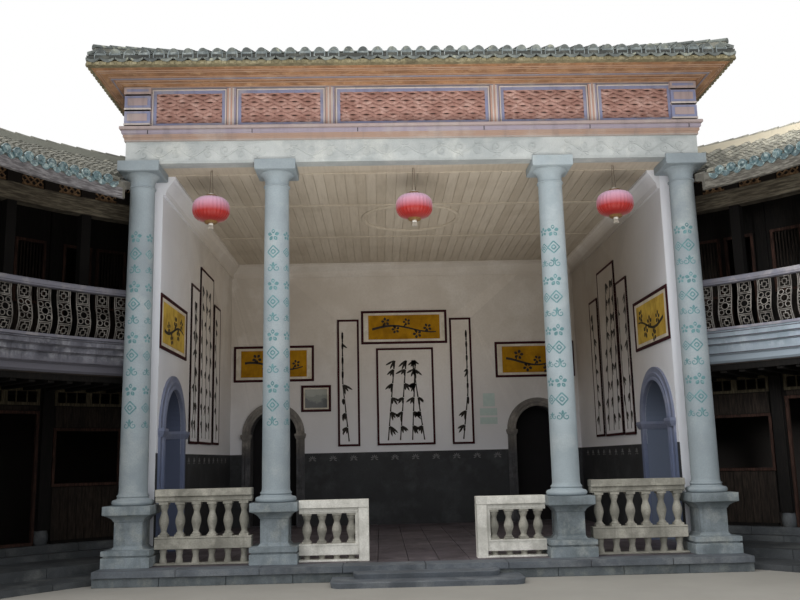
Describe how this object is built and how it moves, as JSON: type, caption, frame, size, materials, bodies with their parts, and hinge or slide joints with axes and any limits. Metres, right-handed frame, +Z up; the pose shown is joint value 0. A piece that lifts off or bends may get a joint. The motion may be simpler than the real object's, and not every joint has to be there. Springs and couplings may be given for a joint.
{
  "type": "tulou ancestral hall with adjoining inner-ring galleries",
  "caption": "Open-fronted hall with granite columns, frieze and hipped tile roof, set between curved two-storey gallery wings of a round courtyard house.",
  "frame": {"origin": "on the ground under the platform, on the line of the four columns, in the middle of the hall", "axes": "+Z up, -Y towards the courtyard, +X to the right of someone facing the hall from the courtyard"},
  "size_m": [23.8876, 11.7532, 10.7276],
  "materials": {
    "granite": "dressed grey-green granite",
    "pale_stone": "cut pale stone, weathered",
    "dark_stone": "dark grey moulded stone",
    "plaster": "lime plaster, matt",
    "painted_masonry": "faded lavender and pink limewash",
    "orange_timber": "painted timber mouldings",
    "ceiling_boards": "limewashed boards",
    "roof_tile": "grey barrel tiles with lichen",
    "lantern_silk": "red lantern cloth on thin ribs",
    "board_lacquer": "maroon frame round a yellow field",
    "dark_timber": "smoke-dark old timber",
    "grey_timber": "weathered timber",
    "cast_iron": "painted cast iron, worn",
    "earth_wall": "rammed earth with thin lime wash"
  },
  "bodies": {
    "root": {"platform": "granite", "front_steps": "granite", "pedestal_outer_left": "granite", "pedestal_inner_left": "granite", "pedestal_inner_right": "granite", "pedestal_outer_right": "granite", "column_outer_left": "granite", "column_inner_left": "granite", "column_inner_right": "granite", "column_outer_right": "granite", "balustrade_outer_left": "pale_stone", "balustrade_inner_left": "pale_stone", "balustrade_inner_right": "pale_stone", "balustrade_outer_right": "pale_stone", "side_wall_left": "plaster", "side_wall_right": "plaster", "back_wall": "plaster", "side_arch_surround_left": "dark_stone", "side_arch_surround_right": "dark_stone", "back_arch_surround_left": "dark_stone", "back_arch_surround_right": "dark_stone", "lintel_left": "granite", "lintel_centre": "granite", "lintel_right": "granite", "string_cornice": "painted_masonry", "frieze": "painted_masonry", "eave_cornice": "orange_timber", "hall_roof_front": "roof_tile", "hall_roof_back": "roof_tile", "hall_roof_left": "roof_tile", "hall_roof_right": "roof_tile", "hall_roof_ridges": "roof_tile", "ceiling": "ceiling_boards", "plaster_cornice": "plaster", "name_board_back_centre": "board_lacquer", "name_board_back_left": "board_lacquer", "name_board_back_right": "board_lacquer", "name_board_side_left": "board_lacquer", "name_board_side_right": "board_lacquer", "lantern_left": "lantern_silk", "lantern_centre": "lantern_silk", "lantern_right": "lantern_silk", "ring_floor_left": "granite", "ring_floor_right": "granite", "ring_ground_front_left": "dark_timber", "ring_ground_front_right": "dark_timber", "ring_gallery_floor_left": "grey_timber", "ring_gallery_floor_right": "grey_timber", "ring_gallery_rail_left": "cast_iron", "ring_gallery_rail_right": "cast_iron", "ring_gallery_frame_left": "grey_timber", "ring_gallery_frame_right": "grey_timber", "ring_upper_front_left": "dark_timber", "ring_upper_front_right": "dark_timber", "ring_earth_wall_left": "earth_wall", "ring_earth_wall_right": "earth_wall", "ring_roof_left": "roof_tile", "ring_roof_right": "roof_tile"}
  },
  "joints": []
}
